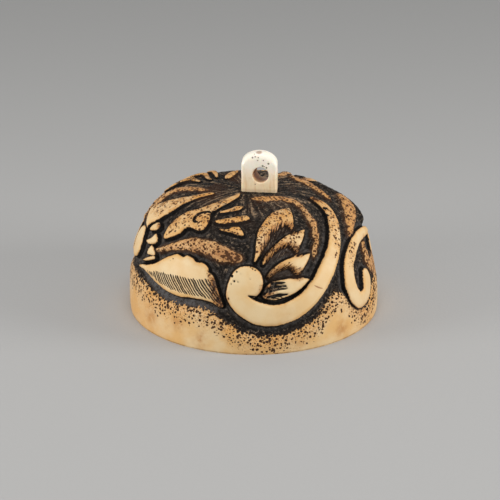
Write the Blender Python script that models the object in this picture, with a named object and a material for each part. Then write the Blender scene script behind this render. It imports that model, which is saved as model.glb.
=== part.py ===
"""A netsuke: a low dome of stained stag antler, carved all round in relief, with a pale cord loop
let into its crown.

Metres, +Z up. The foot lies on z = 0 with its centre at the origin, and the front faces -Y.
Azimuth is in degrees, 0 at the front and growing towards +X. Climb runs up the dome's side
from 0 at the foot to 1 at the crown, as a share of the profile's length, and the half-widths
of the carved strokes are shares of that same length.
"""
import math

import bmesh
import bpy
import numpy as np
from mathutils import Matrix

MM = 0.001

# The dome
DOME_DIAMETER = 38.0 * MM
DOME_HEIGHT = 19.25 * MM
SHOULDER_FULLNESS = 2.681
SIDE_FULLNESS = 3.62
CROWN_LEAN = -1.15 * MM
FOOT_EASE = 0.13 * MM
FOOT_EASE_HEIGHT = 0.8 * MM

# The relief
GROUND_DEPTH = 0.75 * MM
CROWN_GROUND_SHARE = 0.45
CROWN_EASE_FROM = 0.52
CROWN_EASE_TO = 0.80
EDGE_RUN = 0.35 * MM
SOFT_RUN = 0.55 * MM
MOTIF_ROUNDING = 0.12 * MM
MOTIF_ROUNDING_RUN = 0.5 * MM
RAMP_CLIMB = 0.075
RIDGE_TOP = 0.12 * MM

# The bulge of the right shoulder, by azimuth and climb
SWELL_PLACE = (99.0, 0.450)
SWELL_HEIGHT = 0.80 * MM
SWELL_REACH = 7.0 * MM

# The cord loop and its socket
LOOP_WIDTH = 5.4 * MM
LOOP_THICKNESS = 2.45 * MM
LOOP_STAND = 5.9 * MM
LOOP_ARCH_RISE = 2.1 * MM
LOOP_EDGE = 0.45 * MM
LOOP_CREST_EDGE = 0.95 * MM
LOOP_TURN = math.radians(-5.0)
LOOP_OFFSET = 0.87 * MM
BORE_DIAMETER = 2.45 * MM
BORE_ABOVE_CROWN = 2.42 * MM
BORE_MOUTH = 0.12 * MM
BORE_SLANT = math.radians(13.0)
BORE_SHIFT = 0.5 * MM
TENON_LENGTH = 4.0 * MM
FIT_GAP = 0.3 * MM

# How finely things are divided
PROFILE_STEPS = 130
ROUND_STEPS = 380
DOME_FACES = 8900
ARCH_STEPS = 16
BORE_STEPS = 28
STEPS_BETWEEN_STATIONS = 10

# The back repeats the front, mirrored about this azimuth, with the scroll's ridge cut short
MIRROR_AZIMUTH = 100.0
BACK_RIDGE_FROM_STATION = 3

# Carved strokes: azimuth, climb and half-width at each station
BIG_SCROLL = [(-2.4, .347, .0755), (-7, .301, .0495), (-5.8, .257, .048), (2, .204, .052),
              (12, .191, .048), (23, .224, .045), (33, .292, .044), (44, .386, .040),
              (58, .496, .031), (65, .545, .029), (71, .590, .027), (75, .635, .023), (78, .683, .013)]
HOOK = [(94, .362, .010), (90, .380, .018), (84, .396, .021), (77, .405, .023), (69, .400, .027),
        (62, .378, .031), (56, .337, .035), (53.5, .267, .038), (54, .217, .038), (56, .179, .037),
        (60, .147, .038), (66, .158, .040), (68.5, .195, .044), (68.5, .232, .034), (67.5, .256, .016)]
CROWN_RIBS = [
    [(-112, .560, .006), (-117, .590, .014), (-123, .625, .020), (-125, .668, .017),
     (-121, .712, .013), (-117, .750, .006)],
    [(-131, .545, .008), (-136, .600, .018), (-140, .650, .018), (-140, .690, .012),
     (-133.5, .740, .010), (-126, .790, .006)],
    [(-150, .620, .006), (-150, .680, .010), (-145, .745, .009), (-138, .795, .004)],
    [(-170, .750, .006), (-163, .785, .016), (-153, .822, .018), (-145, .842, .008)],
    [(-24, .716, .006), (-16, .745, .012), (-10, .768, .016), (-5, .780, .007)],
]
SIDE_SHOOTS = [
    [(100, .195, .007), (100, .235, .021), (100, .285, .022), (100, .335, .006)],
    [(105, .210, .007), (108, .245, .015), (109.5, .290, .016), (108.5, .335, .005)],
]

# Carved shapes: azimuth and climb along the outline
PETALS = [
    [(2.5, .444), (4, .497), (5.2, .550), (8, .603), (14.5, .662), (23, .703), (33.5, .721),
     (42.5, .717), (43.5, .711), (40.7, .683), (36.4, .641), (31.5, .593), (30, .591), (29.6, .606),
     (29, .622), (25.9, .626), (19.7, .608), (15.6, .584), (12.4, .554), (9, .523), (6, .483)],
    [(6.5, .430), (8.7, .464), (11.3, .489), (14.9, .511), (19.6, .536), (25.8, .558), (32.3, .566),
     (37.6, .567), (38, .563), (35, .538), (32.3, .516), (29, .491), (26.8, .474), (25.8, .478),
     (25.6, .490), (24.3, .507), (21.3, .511), (18.4, .505), (14.9, .490), (11.6, .471), (8.7, .446)],
    [(8.4, .372), (10.5, .398), (13.1, .417), (16.9, .434), (20.7, .444), (26.4, .451), (32.8, .449),
     (33.3, .445), (30.7, .420), (28, .395), (25.4, .374), (23.6, .370), (22.6, .385), (20.2, .406),
     (17.2, .407), (14.4, .401), (12, .391), (9.8, .374)],
    [(8.7, .338), (12.9, .350), (18.4, .353), (24.2, .349), (28.6, .337), (28.9, .333), (26.0, .316),
     (21.2, .290), (16.6, .275), (12.3, .268), (8.6, .267), (5.9, .274), (5.2, .290), (6.4, .313)],
]
LEAF = [(-70, .282), (-62, .311), (-56, .338), (-50, .378), (-45, .411), (-41, .429), (-37, .424),
        (-35, .436), (-31, .430), (-29, .416), (-25, .417), (-22, .402), (-21, .377), (-19, .367),
        (-17, .319), (-14, .227), (-20, .245), (-27, .251), (-35, .241), (-42, .243), (-48, .253),
        (-55, .271), (-62, .284)]
CLOUD = [(-55, .477), (-56, .544), (-55, .597), (-53, .645), (-47, .696), (-41, .771), (-36, .851),
         (-26, .922), (-19, .892), (-26, .800), (-31, .728), (-33.5, .700), (-31.5, .672),
         (-29.8, .640), (-29.5, .608), (-31.5, .579), (-35.2, .574), (-40, .578), (-43.5, .560),
         (-45.5, .527), (-50, .496)]
UPPER_RIB = [(-77, .459), (-91, .513), (-85, .594), (-79, .677), (-74, .755), (-73, .821),
             (-67, .836), (-66, .752), (-66, .690), (-66, .620), (-69, .552), (-76, .480)]
EDGE_PLATE = [(-81, .450), (-77, .443), (-74, .396), (-74, .342), (-78, .297), (-85, .295),
              (-86, .358), (-85, .415)]
PEBBLES = [
    [(-71, .466), (-71, .490), (-67, .521), (-63, .508), (-66, .482)],
    [(-69, .413), (-65, .441), (-63, .470), (-59, .444), (-62, .420), (-66, .410)],
    [(-62, .410), (-57, .386), (-60, .372), (-64, .368)],
    [(-67, .318), (-63, .347), (-57, .374), (-57, .360), (-62, .336)],
]
WEDGES = [
    [(-19, .600), (-13, .606), (-11, .619), (-6, .627), (-4, .606), (-3, .579), (-7, .583), (-12, .590)],
    [(-25, .647), (-18, .670), (-10, .690), (-1, .705), (2, .678), (-5, .662), (-14, .648), (-20, .640)],
]

# Soft ridges left standing in the ground: stations as for strokes, and the height of the top
SOFT_RIDGES = [
    ([(-57, .405, .012), (-52, .434, .015), (-46, .458, .019), (-39, .484, .028), (-32, .498, .034),
      (-23, .495, .040), (-14, .474, .040), (-6, .462, .020)], -RIDGE_TOP),
    ([(22, .866, .026), (39, .843, .030), (54, .811, .026), (58.5, .762, .021), (58, .727, .019),
      (55, .685, .018), (51, .633, .018), (50, .595, .019), (47, .560, .019), (44, .525, .017),
      (41, .488, .016), (38, .457, .014), (36, .434, .009)], -RIDGE_TOP),
    ([(132, .714, .014), (126, .708, .026), (120, .701, .030), (114, .692, .028), (106, .675, .024),
      (99, .652, .020), (93, .628, .016), (91, .609, .010)], 0.0),
    ([(104, .530, .030), (97, .515, .040), (88, .500, .042), (82, .484, .036), (75, .463, .026),
      (69, .448, .012)], 0.0),
    ([(81, .375, .014), (78, .340, .026), (77, .305, .030), (78, .265, .030), (84, .225, .040),
      (100, .190, .050)], -RIDGE_TOP),
    ([(-92, .527, .012), (-98, .590, .024), (-101, .645, .030), (-99, .700, .028), (-93, .775, .022),
      (-86, .815, .012)], -RIDGE_TOP),
]

# The ground left uncut over the right shoulder, where it bulges behind the hook
SHOULDER_GROUND = [(98, .405, .010), (100, .425, .022), (103, .450, .030), (107, .482, .036),
                   (111, .512, .034), (117, .572, .034), (121, .605, .036), (126, .640, .034),
                   (133, .672, .020)]

# Where the carved ground starts above the plain foot: azimuth and climb
GROUND_LINE = [(-80, .185), (-62, .181), (-48, .157), (-35, .159), (-25, .168), (-18, .150),
               (-12, .103), (-4, .063), (4, .044), (14, .051), (21, .071), (29, .096), (36, .154),
               (42, .205), (47, .184), (53, .098), (61, .048), (69, .055), (77, .105), (88, .155),
               (100, .165)]


class DomeForm:
    """The smooth dome before it is carved, with places on it given by azimuth and climb."""

    FINE = 4000

    def __init__(self):
        turn = np.linspace(0.0, math.pi / 2, self.FINE)
        self.height = DOME_HEIGHT * np.sin(turn) ** (2 / SHOULDER_FULLNESS)
        radius = DOME_DIAMETER / 2 * np.cos(turn) ** (2 / SIDE_FULLNESS)
        radius[-1] = 0.0
        step = np.hypot(np.diff(radius), np.diff(self.height))
        run = np.concatenate([[0.0], np.cumsum(step)])
        self.length = run[-1]
        self.climb = run / run[-1]
        self.radius = radius - FOOT_EASE * np.exp(-self.height / FOOT_EASE_HEIGHT)
        self.radius[-1] = 0.0
        self.rise = np.degrees(np.arctan2(self.height / DOME_HEIGHT, radius / (DOME_DIAMETER / 2)))

    def place(self, azimuth, climb):
        """Points on the smooth dome."""
        turn = np.radians(azimuth)
        radius = np.interp(climb, self.climb, self.radius)
        height = np.interp(climb, self.climb, self.height)
        lean = CROWN_LEAN * (height / DOME_HEIGHT) ** 2
        return np.stack([radius * np.sin(turn) + lean, -radius * np.cos(turn), height], -1)

    def outward(self, azimuth, climb):
        """Outward directions of the smooth dome."""
        nudge = 0.002
        low = np.clip(climb - nudge, 0.0, 1.0)
        high = np.clip(climb + nudge, 0.0, 1.0)
        across = (np.interp(high, self.climb, self.height) - np.interp(low, self.climb, self.height))
        inward = (np.interp(low, self.climb, self.radius) - np.interp(high, self.climb, self.radius))
        size = np.hypot(across, inward)
        turn = np.radians(azimuth)
        return np.stack([across * np.sin(turn), -across * np.cos(turn), inward], -1) / size[:, None]


def smooth_step(value, low, high):
    share = np.clip((value - low) / (high - low), 0.0, 1.0)
    return share * share * (3.0 - 2.0 * share)


def curve_through(stations, closed):
    """Points along one smooth curve through the stations."""
    points = np.array(stations, float)
    count = len(points)
    spans = count if closed else count - 1
    share = np.linspace(0.0, 1.0, STEPS_BETWEEN_STATIONS, endpoint=False)[:, None]
    pieces = []
    for span in range(spans):
        ends = [span - 1, span, span + 1, span + 2]
        if closed:
            ends = [end % count for end in ends]
        else:
            ends = [min(max(end, 0), count - 1) for end in ends]
        before, start, stop, after = points[ends]
        pieces.append(0.5 * (2 * start + (stop - before) * share
                             + (2 * before - 5 * start + 4 * stop - after) * share ** 2
                             + (3 * start - before - 3 * stop + after) * share ** 3))
    if not closed:
        pieces.append(points[-1:])
    return np.concatenate(pieces)


def mirrored(stations):
    """The same stations on the other side of the mirror azimuth."""
    return [(2 * MIRROR_AZIMUTH - station[0],) + tuple(station[1:]) for station in stations]


def turned_from(azimuth, centre):
    """Azimuths as turns from a centre, between -180 and 180."""
    return (azimuth - centre + 180.0) % 360.0 - 180.0


def stroke_distance(form, points, stations):
    """How far each point lies outside a stroke of changing width; inside is below 0."""
    line = curve_through(stations, closed=False)
    spine = form.place(line[:, 0], line[:, 1])
    half_width = np.maximum(line[:, 2], 0.0) * form.length
    nearest = np.full(len(points), np.inf)
    for centre, reach in zip(spine, half_width):
        nearest = np.minimum(nearest, np.linalg.norm(points - centre, axis=1) - reach)
    return nearest


def outline_distance(form, points, azimuth, climb, stations):
    """How far each point lies outside a closed outline; inside is below 0."""
    line = curve_through(stations, closed=True)
    edge = form.place(line[:, 0], line[:, 1])
    nearest = np.full(len(points), np.inf)
    for corner in edge:
        nearest = np.minimum(nearest, np.linalg.norm(points - corner, axis=1))
    middle = line[:, 0].mean()
    across = turned_from(azimuth, middle)
    inside = np.zeros(len(points), bool)
    start = line[-1]
    for stop in line:
        spans = (start[1] > climb) != (stop[1] > climb)
        if spans.any():
            slope = (stop[0] - start[0]) / (stop[1] - start[1])
            crossing = start[0] - middle + (climb - start[1]) * slope
            inside ^= spans & (across < crossing)
        start = stop
    return np.where(inside, -nearest, nearest)


def motif_distance(form, points, azimuth, climb):
    """Distance outside the nearest raised motif of the front or the back."""
    strokes = [BIG_SCROLL, HOOK, mirrored(BIG_SCROLL), mirrored(HOOK)] + CROWN_RIBS + SIDE_SHOOTS
    outlines = PETALS + [LEAF, CLOUD, UPPER_RIB, EDGE_PLATE] + PEBBLES + WEDGES
    outlines += [mirrored(shape) for shape in PETALS[1:] + [LEAF]]
    nearest = np.full(len(points), np.inf)
    for stations in strokes:
        nearest = np.minimum(nearest, stroke_distance(form, points, stations))
    for stations in outlines:
        nearest = np.minimum(nearest, outline_distance(form, points, azimuth, climb, stations))
    return nearest


def ground_start(azimuth):
    """Climb at which the carved ground starts, the same on both sides of the mirror azimuth."""
    line = np.array(GROUND_LINE)
    side = MIRROR_AZIMUTH - np.abs(turned_from(azimuth, MIRROR_AZIMUTH))
    return np.interp(side, line[:, 0], line[:, 1])


def swell(form, points):
    """How far the right shoulder bulges out, carving and all."""
    centre = form.place(*(np.array([part]) for part in SWELL_PLACE))
    away = np.linalg.norm(points - centre, axis=1)
    return SWELL_HEIGHT * (1.0 - smooth_step(away, 0.0, SWELL_REACH))


def back_ridges():
    """The leaf's soft ridge and the lower part of the scroll's, as they return at the back."""
    (leaf_ridge, leaf_top), (scroll_ridge, scroll_top) = SOFT_RIDGES[:2]
    short_ridge = scroll_ridge[BACK_RIDGE_FROM_STATION:]
    return [(mirrored(leaf_ridge), leaf_top), (mirrored(short_ridge), scroll_top)]


def relief(form, points, azimuth, climb):
    """Height of the carved surface over the smooth dome."""
    cut = motif_distance(form, points, azimuth, climb)
    start = ground_start(azimuth)
    depth = GROUND_DEPTH * smooth_step(climb, start, start + RAMP_CLIMB)
    depth *= 1.0 - (1.0 - CROWN_GROUND_SHARE) * smooth_step(climb, CROWN_EASE_FROM, CROWN_EASE_TO)
    level = -depth
    for stations, top in SOFT_RIDGES + [(SHOULDER_GROUND, 0.0)] + back_ridges():
        away = stroke_distance(form, points, stations)
        mound = 1.0 - smooth_step(away, -SOFT_RUN, SOFT_RUN)
        level = level + (top - level) * mound
    level = level * smooth_step(cut, 0.0, EDGE_RUN)
    rounding = 1.0 - smooth_step(-cut, 0.0, MOTIF_ROUNDING_RUN)
    raised = smooth_step(climb, start, start + RAMP_CLIMB)
    level -= MOTIF_ROUNDING * rounding * raised * (1.0 - smooth_step(cut, 0.0, EDGE_RUN))
    return level + swell(form, points)


def material(name, colour, roughness):
    """A plain satin finish."""
    finish = bpy.data.materials.new(name)
    finish.use_nodes = True
    shader = finish.node_tree.nodes["Principled BSDF"]
    shader.inputs["Base Color"].default_value = (*colour, 1.0)
    shader.inputs["Roughness"].default_value = roughness
    shader.inputs["Metallic"].default_value = 0.0
    finish.diffuse_color = (*colour, 1.0)
    return finish


def add_object(name, mesh, finish=None):
    piece = bpy.data.objects.new(name, mesh)
    bpy.context.collection.objects.link(piece)
    if finish:
        mesh.materials.append(finish)
    return piece


def mesh_from(work, name):
    bmesh.ops.recalc_face_normals(work, faces=work.faces)
    mesh = bpy.data.meshes.new(name)
    work.to_mesh(mesh)
    work.free()
    return mesh


def turned_dome(form):
    """The smooth dome, turned from its profile and closed by a flat foot."""
    work = bmesh.new()
    climbs = np.linspace(0.0, 1.0, PROFILE_STEPS + 1)
    rows = np.stack([np.interp(climbs, form.climb, form.radius), np.zeros(len(climbs)),
                     np.interp(climbs, form.climb, form.height)], -1)
    profile = [work.verts.new(row) for row in rows]
    edges = [work.edges.new(pair) for pair in zip(profile, profile[1:])]
    bmesh.ops.spin(work, geom=profile + edges, cent=(0, 0, 0), axis=(0, 0, 1),
                   angle=math.tau, steps=ROUND_STEPS, use_merge=True)
    bmesh.ops.remove_doubles(work, verts=work.verts, dist=DOME_HEIGHT * 1e-6)
    foot = [edge for edge in work.edges if edge.is_boundary]
    bmesh.ops.contextual_create(work, geom=foot)
    return work


def carve(form, work):
    """Moves each point of the turned dome to the height of the carving."""
    verts = [vert for vert in work.verts]
    flat = np.array([vert.co for vert in verts])
    azimuth = np.degrees(np.arctan2(flat[:, 0], -flat[:, 1]))
    rise = np.degrees(np.arctan2(flat[:, 2] / DOME_HEIGHT,
                                 np.hypot(flat[:, 0], flat[:, 1]) / (DOME_DIAMETER / 2)))
    climb = np.interp(rise, form.rise, form.climb)
    points = form.place(azimuth, climb)
    carved = points + form.outward(azimuth, climb) * relief(form, points, azimuth, climb)[:, None]
    on_foot = flat[:, 2] < DOME_HEIGHT * 1e-5
    carved[on_foot, 2] = 0.0
    for vert, place in zip(verts, carved):
        vert.co = place


def thinned(mesh, faces):
    """The same surface in fewer triangles, kept small where the carving turns."""
    rough = bpy.data.objects.new("rough", mesh)
    bpy.context.collection.objects.link(rough)
    mesh.calc_loop_triangles()
    fewer = rough.modifiers.new("fewer", "DECIMATE")
    fewer.ratio = faces / len(mesh.loop_triangles)
    fewer.use_collapse_triangulate = True
    seen = rough.evaluated_get(bpy.context.evaluated_depsgraph_get())
    result = bpy.data.meshes.new_from_object(seen)
    bpy.data.objects.remove(rough)
    return result


def level_foot(mesh):
    """Puts the points of the foot back on z = 0 after thinning."""
    for vert in mesh.vertices:
        if vert.co.z < FOOT_EASE * 0.5:
            vert.co.z = 0.0


def shank(work, width, thickness, low, high, arch_rise):
    """A flat bar standing on end, with an arched top where arch_rise is above 0."""
    half = width / 2
    spring = high - arch_rise
    sides = [(-half, low), (half, low)]
    if arch_rise > 0:
        turns = [math.pi * step / ARCH_STEPS for step in range(ARCH_STEPS + 1)]
        arch = [(half * math.cos(turn), spring + arch_rise * math.sin(turn)) for turn in turns]
    else:
        arch = [(half, high), (-half, high)]
    front = [work.verts.new((x, -thickness / 2, z)) for x, z in sides + arch]
    face = work.faces.new(front)
    moved = bmesh.ops.extrude_face_region(work, geom=[face])["geom"]
    back = [part for part in moved if isinstance(part, bmesh.types.BMVert)]
    bmesh.ops.translate(work, verts=back, vec=(0, thickness, 0))


def bore_cutter(length):
    """A turned cutter along Y with a short flare at each mouth, slanting as it goes through."""
    work = bmesh.new()
    radius = BORE_DIAMETER / 2
    face = LOOP_THICKNESS / 2
    rows = [(0, -length), (radius + BORE_MOUTH, -length), (radius + BORE_MOUTH, -face),
            (radius, -face + BORE_MOUTH), (radius, face - BORE_MOUTH),
            (radius + BORE_MOUTH, face), (radius + BORE_MOUTH, length), (0, length)]
    profile = [work.verts.new((x, y, 0)) for x, y in rows]
    edges = [work.edges.new(pair) for pair in zip(profile, profile[1:])]
    bmesh.ops.spin(work, geom=profile + edges, cent=(0, 0, 0), axis=(0, 1, 0),
                   angle=math.tau, steps=BORE_STEPS, use_merge=True)
    bmesh.ops.remove_doubles(work, verts=work.verts, dist=radius * 1e-4)
    for vert in work.verts:
        vert.co.x += vert.co.y * math.tan(BORE_SLANT)
    return mesh_from(work, "bore_cutter")


def as_cutter(piece):
    piece.hide_render = True
    piece.display_type = "WIRE"
    return piece


def cut_away(piece, cutter, name):
    cut = piece.modifiers.new(name, "BOOLEAN")
    cut.operation = "DIFFERENCE"
    cut.solver = "EXACT"
    cut.object = cutter


def make_dome(form, finish):
    work = turned_dome(form)
    carve(form, work)
    mesh = thinned(mesh_from(work, "dome_surface"), DOME_FACES)
    level_foot(mesh)
    mesh.shade_smooth()
    mesh.set_sharp_from_angle(angle=math.radians(40))
    return add_object("carved_dome", mesh, finish)


def make_socket_cutter():
    """The space for the loop's tenon, a gap wider all round and deeper at its end."""
    work = bmesh.new()
    shank(work, LOOP_WIDTH + 2 * FIT_GAP, LOOP_THICKNESS + 2 * FIT_GAP,
          -TENON_LENGTH - FIT_GAP, LOOP_STAND, 0.0)
    upright = [edge for edge in work.edges
               if abs(edge.verts[0].co.z - edge.verts[1].co.z) > LOOP_STAND / 2]
    bmesh.ops.bevel(work, geom=upright, offset=LOOP_EDGE + FIT_GAP, offset_type="OFFSET",
                    affect="EDGES", segments=3, profile=0.5, material=-1)
    return as_cutter(add_object("socket_cutter", mesh_from(work, "socket_cutter")))


def soften_rim(work):
    """Marks the rim's edges with their share of the crest's rounding, less down the sides."""
    spring = LOOP_STAND - LOOP_ARCH_RISE
    weight = work.edges.layers.float.new("bevel_weight_edge")
    for edge in work.edges:
        heights = [vert.co.z for vert in edge.verts]
        along_face = abs(edge.verts[0].co.y - edge.verts[1].co.y) < LOOP_THICKNESS / 2
        if along_face and max(heights) > -TENON_LENGTH:
            rise = smooth_step(sum(heights) / 2, spring, LOOP_STAND)
            edge[weight] = (LOOP_EDGE + (LOOP_CREST_EDGE - LOOP_EDGE) * rise) / LOOP_CREST_EDGE


def make_loop(finish):
    work = bmesh.new()
    shank(work, LOOP_WIDTH, LOOP_THICKNESS, -TENON_LENGTH, LOOP_STAND, LOOP_ARCH_RISE)
    soften_rim(work)
    loop = add_object("cord_loop", mesh_from(work, "cord_loop"), finish)
    rounded = loop.modifiers.new("rounded", "BEVEL")
    rounded.limit_method = "WEIGHT"
    rounded.width = LOOP_CREST_EDGE
    rounded.segments = 4
    rounded.use_clamp_overlap = False
    bore = as_cutter(add_object("bore_cutter", bore_cutter(LOOP_THICKNESS)))
    bore.parent = loop
    bore.location = (BORE_SHIFT, 0.0, BORE_ABOVE_CROWN)
    cut_away(loop, bore, "bore")
    loop.data.shade_smooth()
    loop.data.set_sharp_from_angle(angle=math.radians(40))
    return loop


def make_netsuke():
    form = DomeForm()
    antler = material("stained_antler", (0.62, 0.44, 0.24), 0.45)
    bone = material("pale_bone", (0.83, 0.76, 0.62), 0.35)
    dome = make_dome(form, antler)
    socket = make_socket_cutter()
    loop = make_loop(bone)
    crown = (LOOP_OFFSET, 0.0, DOME_HEIGHT)
    for piece in (loop, socket):
        piece.matrix_world = Matrix.Translation(crown) @ Matrix.Rotation(LOOP_TURN, 4, "Z")
    cut_away(dome, socket, "socket")


for old in list(bpy.data.objects):
    bpy.data.objects.remove(old, do_unlink=True)
make_netsuke()
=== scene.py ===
"""The looks of a netsuke: a low dome of stained stag antler, carved all round in relief, with a
pale bone loop let into its crown, on a plain floor under soft studio light.

Metres, +Z up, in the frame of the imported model. Azimuth is in degrees, 0 at the front (-Y) and
growing towards +X. Climb runs up the dome's side from 0 at the foot to 1 at the crown, as a
share of the profile's length, and the half-widths of carved strokes are shares of that length.
"""
import math

import bmesh
import bpy
import numpy as np
from mathutils import Matrix, Vector, noise


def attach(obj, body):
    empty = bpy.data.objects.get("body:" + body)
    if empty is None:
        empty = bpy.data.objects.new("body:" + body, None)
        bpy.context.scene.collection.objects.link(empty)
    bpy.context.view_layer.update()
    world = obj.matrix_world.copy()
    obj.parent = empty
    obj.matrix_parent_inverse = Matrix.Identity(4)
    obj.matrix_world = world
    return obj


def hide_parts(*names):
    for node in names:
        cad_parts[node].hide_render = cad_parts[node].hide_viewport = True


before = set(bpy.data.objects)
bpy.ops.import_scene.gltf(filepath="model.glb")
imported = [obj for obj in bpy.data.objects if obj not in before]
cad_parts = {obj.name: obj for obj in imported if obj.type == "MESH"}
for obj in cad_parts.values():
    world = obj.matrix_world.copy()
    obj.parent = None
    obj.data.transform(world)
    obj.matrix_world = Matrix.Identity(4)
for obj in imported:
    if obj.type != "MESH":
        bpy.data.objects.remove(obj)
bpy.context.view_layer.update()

MM = 0.001

# The dome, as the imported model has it
DOME_DIAMETER = 38.0 * MM
DOME_HEIGHT = 19.25 * MM
SHOULDER_FULLNESS = 2.681
SIDE_FULLNESS = 3.62
CROWN_LEAN = -1.15 * MM
FOOT_EASE = 0.13 * MM
FOOT_EASE_HEIGHT = 0.8 * MM

# The relief
GROUND_DEPTH = 0.75 * MM
CROWN_GROUND_SHARE = 0.45
CROWN_EASE_FROM = 0.52
CROWN_EASE_TO = 0.80
EDGE_RUN = 0.28 * MM
SOFT_RUN = 0.55 * MM
MOTIF_ROUNDING = 0.10 * MM
MOTIF_ROUNDING_RUN = 0.45 * MM
RAMP_CLIMB = 0.075
RIDGE_TOP = 0.12 * MM
SWELL_PLACE = (99.0, 0.450)
SWELL_HEIGHT = 0.80 * MM
SWELL_REACH = 7.0 * MM
GROUND_TOOLING = 0.07 * MM
GROUND_LUMPS = 0.90 * MM
GROUND_GRAIN = 0.35 * MM
RIDGE_WANDER = 0.30 * MM
HOLLOW_FADE = (-0.10 * MM, 0.60 * MM)
HOLLOW_FEATHER = 0.45 * MM
LINE_DEPTH = 0.22 * MM
LINE_EDGE = (-0.08 * MM, 0.12 * MM)

# How far a carved edge wanders, and in patches of which sizes, coarse and fine
KNIFE_WANDER = 0.10 * MM
KNIFE_WANDER_PATCHES = (1.60 * MM, 0.55 * MM)
KNIFE_WANDER_LEAST_RADIUS = DOME_DIAMETER / 12

# The stain fades out this far below and above the ground's start, and wanders by this, as climb
INK_FADE = (0.075, 0.080)
INK_WANDER = 0.010

# Scraped lines round the loop: their coarse and fine widths, and the climbs where they set in
SPOKE_WIDTHS = (0.045, 0.021)
SPOKE_CLIMBS = (0.55, 0.80)

# The cord loop
LOOP_WIDTH = 5.4 * MM
LOOP_THICKNESS = 2.45 * MM
LOOP_STAND = 5.9 * MM
LOOP_ARCH_RISE = 2.1 * MM
LOOP_WEAR = 0.035 * MM
LOOP_WEAR_PATCH = 1.1 * MM
LOOP_WEAR_SEEDS = (11, 12, 13)
LOOP_EDGE = 0.45 * MM
LOOP_CREST_EDGE = 0.95 * MM
LOOP_TURN = math.radians(-5.0)
LOOP_OFFSET = 0.87 * MM
LOOP_ROOT = 2.2 * MM
BORE_DIAMETER = 2.45 * MM
BORE_ABOVE_CROWN = 2.42 * MM
BORE_MOUTH = 0.18 * MM
BORE_SLANT = math.radians(13.0)
BORE_SHIFT = 0.5 * MM
LOOP_SPRING = LOOP_STAND - LOOP_ARCH_RISE - BORE_ABOVE_CROWN

# How finely the surfaces are divided
DOME_CELLS = 168
FOOT_RINGS = 14
FOOT_MIDDLE = 0.4
STEPS_BETWEEN_STATIONS = 14
LOOP_ROUND_STEPS = 144
LOOP_FACE_STEPS = 7
LOOP_CORNER_STEPS = 6
LOOP_WALL_STEPS = 6
LOOP_ARCH_POINTS = 60
SMOOTH_ANGLE = math.radians(60)

# The share of a small round mark's reach that is marked in full
MARK_HEART = 0.45

# The back repeats the front, mirrored about this azimuth, with the scroll's ridge cut short
MIRROR_AZIMUTH = 100.0
BACK_RIDGE_FROM_STATION = 3

# Carved strokes: azimuth, climb and half-width at each station
BIG_SCROLL = [(-2.4, .347, .0755), (-7, .301, .0495), (-5.8, .257, .048), (2, .204, .052),
              (12, .191, .048), (23, .224, .045), (33, .292, .044), (44, .386, .040),
              (58, .496, .031), (65, .545, .029), (71, .590, .027), (75, .635, .023), (78, .683, .013)]
HOOK = [(94, .362, .010), (90, .380, .018), (84, .396, .021), (77, .405, .023), (69, .400, .027),
        (62, .378, .031), (56, .337, .035), (53.5, .267, .038), (54, .217, .038), (56, .179, .037),
        (60, .147, .038), (66, .158, .040), (68.5, .195, .044), (68.5, .232, .034), (67.5, .256, .016)]
CROWN_RIBS = [
    [(-112, .560, .006), (-117, .590, .014), (-123, .625, .020), (-125, .668, .017),
     (-121, .712, .013), (-117, .750, .006)],
    [(-131, .545, .008), (-136, .600, .018), (-140, .650, .018), (-140, .690, .012),
     (-133.5, .740, .010), (-126, .790, .006)],
    [(-150, .620, .006), (-150, .680, .010), (-145, .745, .009), (-138, .795, .004)],
    [(-170, .750, .006), (-163, .785, .016), (-153, .822, .018), (-145, .842, .008)],
    [(-24, .716, .006), (-16, .745, .012), (-10, .768, .016), (-5, .780, .007)],
]
SIDE_SHOOTS = [
    [(100, .195, .007), (100, .235, .021), (100, .285, .022), (100, .335, .006)],
    [(105, .210, .007), (108, .245, .015), (109.5, .290, .016), (108.5, .335, .005)],
]

# Carved shapes: azimuth and climb along the outline
PETALS = [
    [(2.5, .444), (4, .497), (5.2, .550), (8, .603), (14.5, .662), (23, .703), (33.5, .721),
     (42.5, .717), (43.5, .711), (40.7, .683), (36.4, .641), (31.5, .593), (30, .591), (29.6, .606),
     (29, .622), (25.9, .626), (19.7, .608), (15.6, .584), (12.4, .554), (9, .523), (6, .483)],
    [(6.5, .430), (8.7, .464), (11.3, .489), (14.9, .511), (19.6, .536), (25.8, .558), (32.3, .566),
     (37.6, .567), (38, .563), (35, .538), (32.3, .516), (29, .491), (26.8, .474), (25.8, .478),
     (25.6, .490), (24.3, .507), (21.3, .511), (18.4, .505), (14.9, .490), (11.6, .471), (8.7, .446)],
    [(8.4, .372), (10.5, .398), (13.1, .417), (16.9, .434), (20.7, .444), (26.4, .451), (32.8, .449),
     (33.3, .445), (30.7, .420), (28, .395), (25.4, .374), (23.6, .370), (22.6, .385), (20.2, .406),
     (17.2, .407), (14.4, .401), (12, .391), (9.8, .374)],
    [(8.7, .338), (12.9, .350), (18.4, .353), (24.2, .349), (28.6, .337), (28.9, .333), (26.0, .316),
     (21.2, .290), (16.6, .275), (12.3, .268), (8.6, .267), (5.9, .274), (5.2, .290), (6.4, .313)],
]
LEAF = [(-70, .282), (-62, .311), (-56, .338), (-50, .378), (-45, .411), (-41, .429), (-37, .424),
        (-35, .436), (-31, .430), (-29, .416), (-25, .417), (-22, .402), (-21, .377), (-19, .367),
        (-17, .319), (-14, .227), (-20, .245), (-27, .251), (-35, .241), (-42, .243), (-48, .253),
        (-55, .271), (-62, .284)]
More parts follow.
